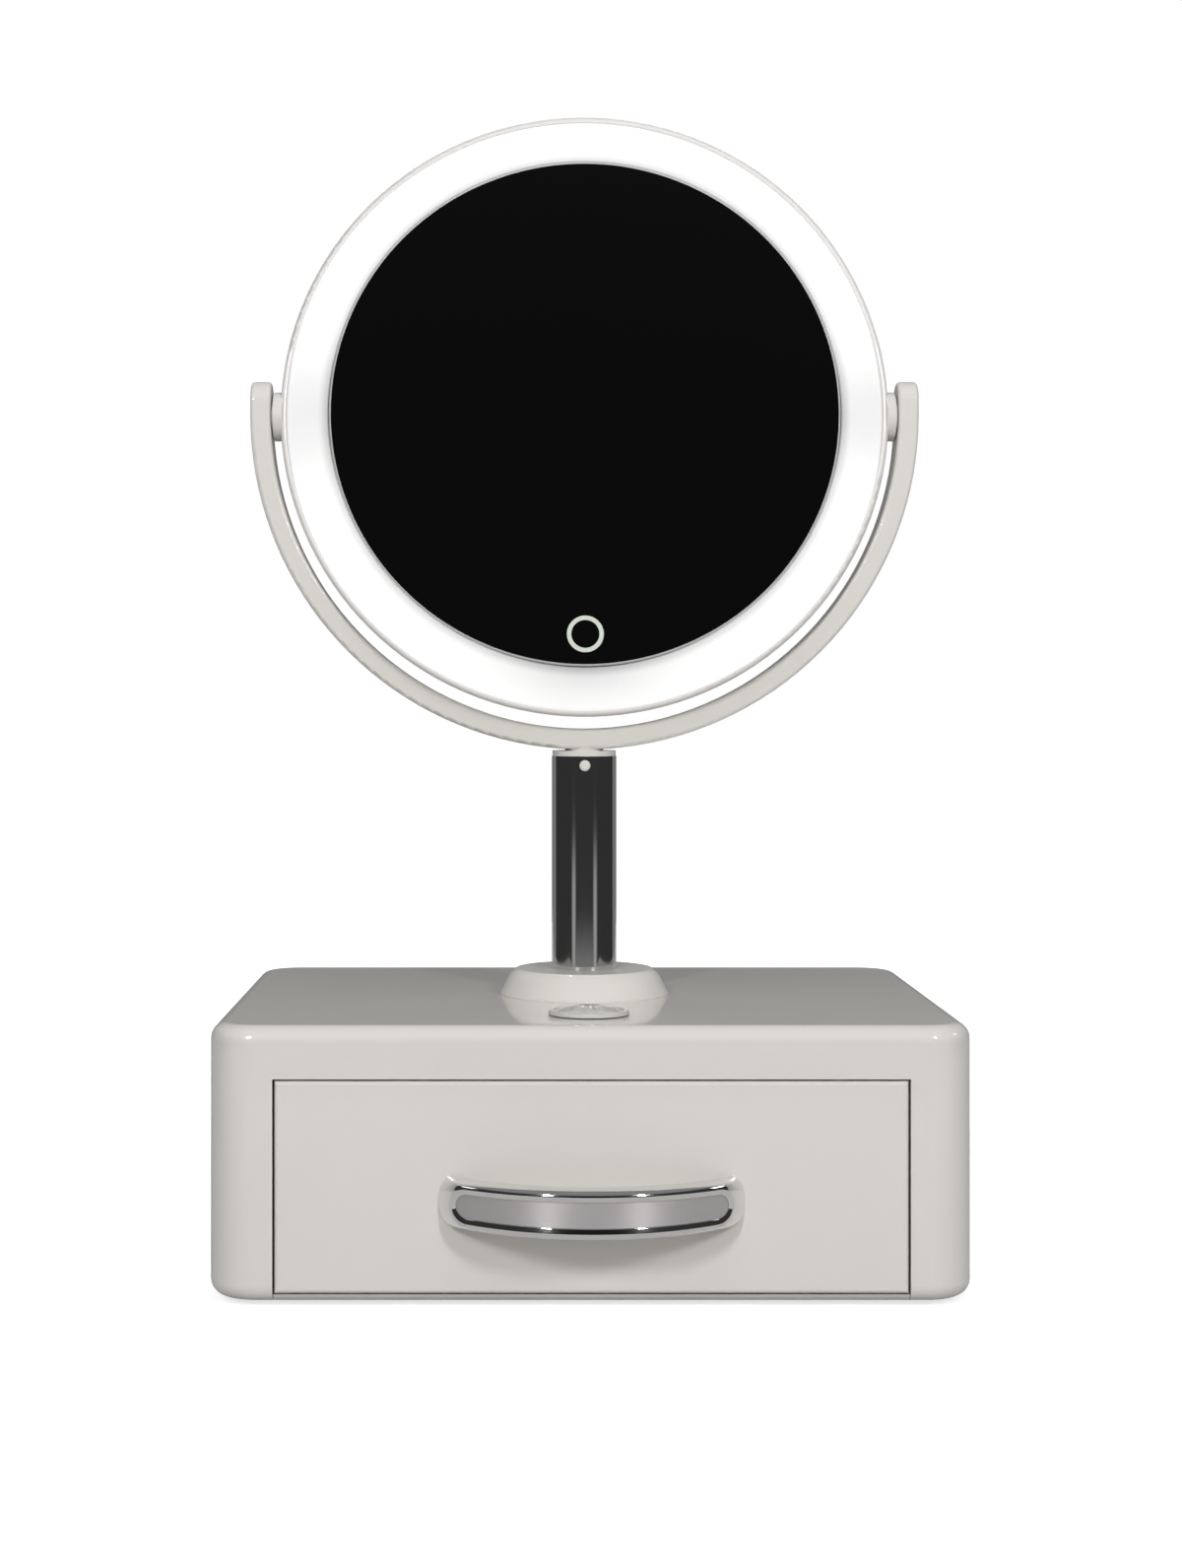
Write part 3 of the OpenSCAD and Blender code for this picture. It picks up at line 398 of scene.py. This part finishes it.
FINISHES = {
    "ivory_lacquer": lacquer("ivory_lacquer_sprayed", IVORY, 0.35, 300, 0.0000012),
    "white_plastic": plastic("white_plastic_moulded", (0.80, 0.80, 0.78)),
    "rubber_black": rubber("rubber_black_dusty", (0.018, 0.018, 0.018)),
    "chrome": metal("chrome_polished", (0.86, 0.855, 0.85), 0.06, (900, 900, 25)),
    "satin_grey": metal(
        "satin_grey_brushed", (0.520, 0.495, 0.500), 0.50, (35, 900, 2600), 0.000006, 0.4,
        metallic=0.55, Anisotropic=0.85, Anisotropic_Rotation=0.25,
    ),
    "steel": metal("steel_plated", (0.52, 0.53, 0.55), 0.30, (500, 500, 500)),
    "felt_grey": felt("felt_grey_flocked", (0.150, 0.138, 0.138)),
    "opal_light": opal("opal_lit"),
    "mirror_silver": silvered("mirror_silvered"),
    "copper": metal("copper_bare", (0.80, 0.42, 0.24), 0.28, (700, 700, 700)),
    "strip_white": plastic("strip_white_mask", (0.80, 0.80, 0.77), 0.4, 900),
    "led_yellow": lit_phosphor("led_phosphor"),
    "board_green": board("board_masked"),
    "part_black": plastic("part_black_moulded", (0.030, 0.030, 0.032), 0.42, 1100),
    "lead_red": plastic("lead_red_sleeve", (0.42, 0.02, 0.02), 0.38, 700),
    "cell_blue": cell_wrap("cell_wrapped"),
}
MOULDED = lacquer("ivory_moulded", toned(IVORY, 1.02), 0.35, 420, 0.0000012, 0.6)
LIT_RIM = rim_glow(lacquer("ivory_lip_painted_glow", RIM_IVORY_PAINTED_LIGHTER, 0.35, 420, 0.0000012, 0.6))
MEDAL = medal("medallion_pearl", (0.76, 0.745, 0.70))
TOUCH = touch_mark("touch_mark_frosted")


def finish_nodes():
    """Every CAD node takes its slot's finish; moulded pieces and the touch mark have their own."""
    own = {name: MOULDED for name in ("collar", "yoke", "rear_cover", "snap_button", "battery_door")}
    own.update(head_ring=LIT_RIM, touch_ring=TOUCH, medallion=MEDAL)
    for name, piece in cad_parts.items():
        for slot in piece.material_slots:
            slot.material = own.get(name, FINISHES[slot.material.name.split(".")[0]])


# ---------- pieces ----------

def new_piece(name, mesh, finish, body):
    piece = bpy.data.objects.new(name, mesh)
    bpy.context.collection.objects.link(piece)
    mesh.materials.append(finish)
    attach(piece, body)
    return piece


def handle_outline(inset):
    """Closed outline of the handle seen from the front, at one distance from its edge."""
    corner = CORNER - CORNER_LOSS * inset
    half_h = HANDLE_H / 2 - inset
    half_l = HANDLE_LEN / 2 + TIP_RUN - inset - RIM_STRETCH * min(inset, RIM_CREST) - corner
    points = []
    for side in (1, -1):
        for i in range(BOW_STEPS + 1):
            x = 2 * i / BOW_STEPS - 1
            points.append((side * half_l * x, side * (half_h - BELLY * x * x)))
        for i in range(1, END_STEPS):
            turn = math.radians(90) - math.pi * i / END_STEPS
            rise = 0 if 2 * i == END_STEPS else math.copysign(half_h - BELLY - corner, math.sin(turn))
            y = corner * math.sin(turn) + rise
            points.append((side * (half_l + corner * math.cos(turn)), side * y))
    return points


def on_bow(point, depth):
    """A front-view point laid some depth under the bow's upright cylinder."""
    x, y = point
    return Vector((x, BOW_Y - math.sqrt((BOW_R - depth) ** 2 - x * x), HANDLE_Z + y))


def rim_profile():
    """Section from the strap's back round the rim to the recess: (distance from edge, depth)."""
    back = [(RIM_W, STRAP_T), (0.0006, STRAP_T), (0.0002, 0.0049), (0.0, 0.0047), (0.00002, 0.0045)]
    turns = [math.radians(FLANK - step) for step in (0, 12, 22, 32, 42, FLANK - SLOPE)]
    middle = (
        SHOULDER_AT[0] + SHOULDER_R * math.sin(turns[0]), SHOULDER_AT[1] + SHOULDER_R * math.cos(turns[0]),
    )
    shoulder = [(middle[0] - SHOULDER_R * math.sin(t), middle[1] - SHOULDER_R * math.cos(t)) for t in turns]
    crest = [(RIM_CREST - 0.00015, 0.00003), (RIM_CREST, 0.00001), (RIM_CREST + 0.0002, 0.00004)]
    slope = [
        (RIM_CREST + 0.00035, 0.00009), (RIM_W - 0.0002, SLOPE_DEEP - 0.00007),
        (RIM_W - 0.00005, SLOPE_DEEP - 0.00002),
    ]
    inner = slope + [(RIM_W, SLOPE_DEEP + 0.00004), (RIM_W, RECESS)]
    return back + shoulder + crest + inner


def loft(form, rings, close_ends):
    """Skins rings of equal length, and caps the first and last if asked."""
    rows = [[form.verts.new(p) for p in ring] for ring in rings]
    for low, high in zip(rows, rows[1:]):
        for i in range(len(low)):
            j = (i + 1) % len(low)
            form.faces.new((low[i], low[j], high[j], high[i]))
    if close_ends:
        form.faces.new(rows[0][::-1])
        form.faces.new(rows[-1])
    return rows


def to_mesh(form, name, smooth_angle=None):
    mesh = bpy.data.meshes.new(name)
    bmesh.ops.recalc_face_normals(form, faces=form.faces)
    for face in form.faces:
        face.smooth = smooth_angle is not None
    if smooth_angle is not None:
        for edge in form.edges:
            if len(edge.link_faces) == 2 and edge.calc_face_angle(0) > math.radians(smooth_angle):
                edge.smooth = False
    form.to_mesh(mesh)
    form.free()
    return mesh


def leg_rings(x):
    """Rings of one leg from the drawer front, where it flares, to inside the strap."""
    rings = [
        [(x + r * math.cos(t), FRONT_Y - out, HANDLE_Z + r * math.sin(t)) for t in TURNS]
        for out, r in LEG_FLARE
    ]
    last_y = FRONT_Y - LEG_FLARE[-1][0]
    inside = [(p[0], min(on_bow((p[0], 0), LEG_DEPTH).y, last_y), p[2]) for p in rings[-1]]
    return rings + [inside]


def cap_handle(form, row):
    """Closes one end ring of the strap with quads, or triangles at its tips, from side to side."""
    count = len(row)
    half = END_STEPS // 2
    for m in range(BOW_STEPS + END_STEPS - 1):
        a, b = row[(m - half) % count], row[(m + 1 - half) % count]
        k = 2 * BOW_STEPS + END_STEPS - m + half
        ring = (a, b, row[k % count], row[(k + 1) % count])
        corners = [v for i, v in enumerate(ring) if v not in ring[:i]]
        if len(corners) > 2:
            form.faces.new(corners)


def make_handle():
    """Chromed strap with a round rim and a recess, on two flared legs."""
    form = bmesh.new()
    rings = [[on_bow(p, depth) for p in handle_outline(inset)] for inset, depth in rim_profile()]
    rows = loft(form, rings, False)
    cap_handle(form, rows[0])
    cap_handle(form, rows[-1])
    for side in (-1, 1):
        loft(form, leg_rings(side * LEG_X), True)
    everything = form.verts[:] + form.edges[:] + form.faces[:]
    bmesh.ops.bisect_plane(
        form, geom=everything, plane_co=(0, FRONT_Y, 0), plane_no=(0, 1, 0), clear_outer=True,
    )
    mesh = to_mesh(form, "handle_chromed", 40)
    piece = new_piece("handle_chromed", mesh, FINISHES["chrome"], "drawer")
    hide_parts("handle_bow")


def make_liner():
    """Felt laid in the drawer, a little uneven, with its cut edge showing."""
    low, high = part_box("drawer_liner")
    columns, rows = 110, 84
    form = bmesh.new()
    top, foot = [], []
    for j in range(rows + 1):
        for i in range(columns + 1):
            x = low[0] + (high[0] - low[0]) * i / columns
            y = low[1] + (high[1] - low[1]) * j / rows
            wave = math.sin(x * 71 + 1.3) * math.sin(y * 58 + 0.4) + 0.5 * math.sin(x * 163 - y * 120)
            edge = min(i, j, columns - i, rows - j) / 3
            top.append(form.verts.new((x, y, high[2] - 0.00014 - 0.00009 * wave * min(1, edge))))
            foot.append(form.verts.new((x, y, low[2])))
    wide = columns + 1
    for j in range(rows):
        for i in range(columns):
            a = j * wide + i
            form.faces.new((top[a], top[a + 1], top[a + wide + 1], top[a + wide]))
            form.faces.new((foot[a], foot[a + wide], foot[a + wide + 1], foot[a + 1]))
    bmesh.ops.bridge_loops(form, edges=[e for e in form.edges if e.is_boundary])
    mesh = to_mesh(form, "liner_felt", 50)
    piece = new_piece("liner_felt", mesh, FINISHES["felt_grey"], "drawer")
    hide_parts("drawer_liner")


# ---------- stage, lamps, camera ----------

def make_floor():
    """Pale floor. The camera sees it white, with the object's shadow left in."""
    form = bmesh.new()
    bmesh.ops.create_grid(form, x_segments=1, y_segments=1, size=1.0)
    for vert in form.verts:
        vert.co = (vert.co.x * 0.8, vert.co.y * 1.05 + 0.45, 0)
    made, tree, shader = material("floor_pale")
    grain = noise(tree, place(tree), 260, 4)
    dress(tree, shader, mixed(tree, grain, toned(FLOOR_TONE, 0.98), toned(FLOOR_TONE, 1.02)), 0.9)
    distance = add(tree, "VectorMath", {0: place(tree)}, operation="LENGTH").outputs["Value"]
    white = span(tree, distance, 0.22, 0.75, 0.72, 1.0)
    rays = add(tree, "LightPath").outputs
    wire(tree, shader.inputs["Emission Color"], (1, 1, 1))
    seen = maths(tree, "MAXIMUM", rays["Is Camera Ray"], rays["Is Transmission Ray"])
    wire(tree, shader.inputs["Emission Strength"], maths(tree, "MULTIPLY", seen, white))
    floor = bpy.data.objects.new("floor", to_mesh(form, "floor"))
    floor.data.materials.append(made)
    bpy.context.collection.objects.link(floor)


def gloss_room(tree):
    """What gloss sees: a grey backdrop, a dim room with a grey ceiling, a darker patch ahead that
    the glass faces, and a low pale foreground with a brighter strip at each side."""
    toward = add(tree, "SeparateXYZ", {0: add(tree, "TexCoord").outputs["Generated"]}).outputs
    wall = span(tree, toward[1], 0.46, 0.60, 0.0, BACKDROP)
    ceiling = span(tree, toward[2], 0.50, 0.72, 0.0, CEILING)
    ahead = span(tree, toward[1], -0.95, -0.75, 1.0, 0.0)
    lower = span(tree, toward[2], 0.10, 0.18)
    upper = span(tree, toward[2], 0.40, 0.46, PATCH, 0.0)
    patch = maths(tree, "MULTIPLY", maths(tree, "MULTIPLY", lower, upper), ahead)
    across = maths(tree, "ABSOLUTE", maths(tree, "DIVIDE", toward[0], toward[1]))
    rising = span(tree, across, 0.54, 0.72)
    falling = span(tree, across, 0.84, 1.12, STRIP, 0.0)
    pale = span(tree, across, 0.84, 0.94, FOREGROUND, 0.0)
    near = maths(tree, "MULTIPLY", pale, span(tree, toward[2], -0.114, -0.084, 1.0, 0.0))
    far = maths(tree, "MULTIPLY", falling, span(tree, toward[2], -0.076, -0.048, 1.0, 0.0))
    far = maths(tree, "MULTIPLY", far, span(tree, toward[2], -0.130, -0.112))
    ground = maths(tree, "MAXIMUM", maths(tree, "MULTIPLY", rising, far), near)
    ground = maths(tree, "MULTIPLY", ground, span(tree, toward[1], -0.5, -0.3, 1.0, 0.0))
    level = maths(tree, "ADD", maths(tree, "SUBTRACT", ROOM, patch), wall)
    return maths(tree, "ADD", maths(tree, "ADD", level, ceiling), ground)


def make_world():
    """White to the camera and through glass, an even dim fill, and a plain room for gloss."""
    world = bpy.data.worlds.new("studio")
    bpy.context.scene.world = world
    world.use_nodes = True
    tree = world.node_tree
    rays = add(tree, "LightPath").outputs
    excess = maths(tree, "SUBTRACT", gloss_room(tree), FILL)
    unseen = maths(tree, "ADD", maths(tree, "MULTIPLY", excess, rays["Is Glossy Ray"]), FILL)
    seen = maths(tree, "MAXIMUM", rays["Is Camera Ray"], rays["Is Transmission Ray"])
    rest = maths(tree, "MULTIPLY", unseen, maths(tree, "SUBTRACT", 1.0, seen))
    background = tree.nodes["Background"]
    wire(tree, background.inputs["Color"], (1, 1, 1))
    wire(tree, background.inputs["Strength"], maths(tree, "ADD", rest, seen))


def lamp(name, azimuth, elevation, distance, size, power, in_gloss=True):
    """Soft rectangular lamp aimed at the object. Azimuth 0 is in front of it, positive to the right."""
    aim = Vector((0, -0.06, 0.16))
    turn, rise = math.radians(azimuth), math.radians(elevation)
    away = Vector((math.sin(turn) * math.cos(rise), -math.cos(turn) * math.cos(rise), math.sin(rise)))
    data = bpy.data.lights.new(name, "AREA")
    data.shape = "RECTANGLE"
    data.size, data.size_y = size
    data.energy = power
    made = bpy.data.objects.new(name, data)
    made.location = aim + away * distance
    made.rotation_euler = (-away).to_track_quat("-Z", "Y").to_euler()
    made.visible_glossy = in_gloss
    bpy.context.collection.objects.link(made)


def make_lamps():
    lamp("key_left", -27, 26, 1.6, (0.11, 0.26), 8.4)
    lamp("key_right", 32, 26, 1.6, (0.11, 0.26), 8.4)
    lamp("side_left", -84, 25, 1.5, (0.28, 0.20), 0.3)
    lamp("side_right", 90, 25, 1.5, (0.28, 0.20), 0.8)
    lamp("front_fill", 0, 20, 2.0, (1.3, 0.9), 5.8, False)
    lamp("top_fill", 0, 70, 1.7, (1.2, 0.9), 5.2, False)
    lamp("back_left", -145, 24, 1.8, (0.9, 0.7), 4.6, False)
    lamp("back_right", 145, 24, 1.8, (0.9, 0.7), 4.6, False)


def make_camera():
    """Level camera that puts the photograph's vanishing point where it was in the frame."""
    wide, tall = FRAME
    data = bpy.data.cameras.new("camera")
    data.sensor_width = 36
    data.lens = FOCAL / tall * data.sensor_width
    data.shift_x = (wide / 2 - CENTRE[0]) / tall
    data.shift_y = (CENTRE[1] - tall / 2) / tall
    data.clip_start, data.clip_end = 0.05, 20
    made = bpy.data.objects.new("camera", data)
    made.location = CAMERA_AT
    made.rotation_euler = (math.pi / 2, 0, 0)
    bpy.context.collection.objects.link(made)
    bpy.context.scene.camera = made


bpy.context.scene.view_settings.view_transform = "Standard"
finish_nodes()
make_handle()
make_liner()
make_floor()
make_world()
make_lamps()
make_camera()
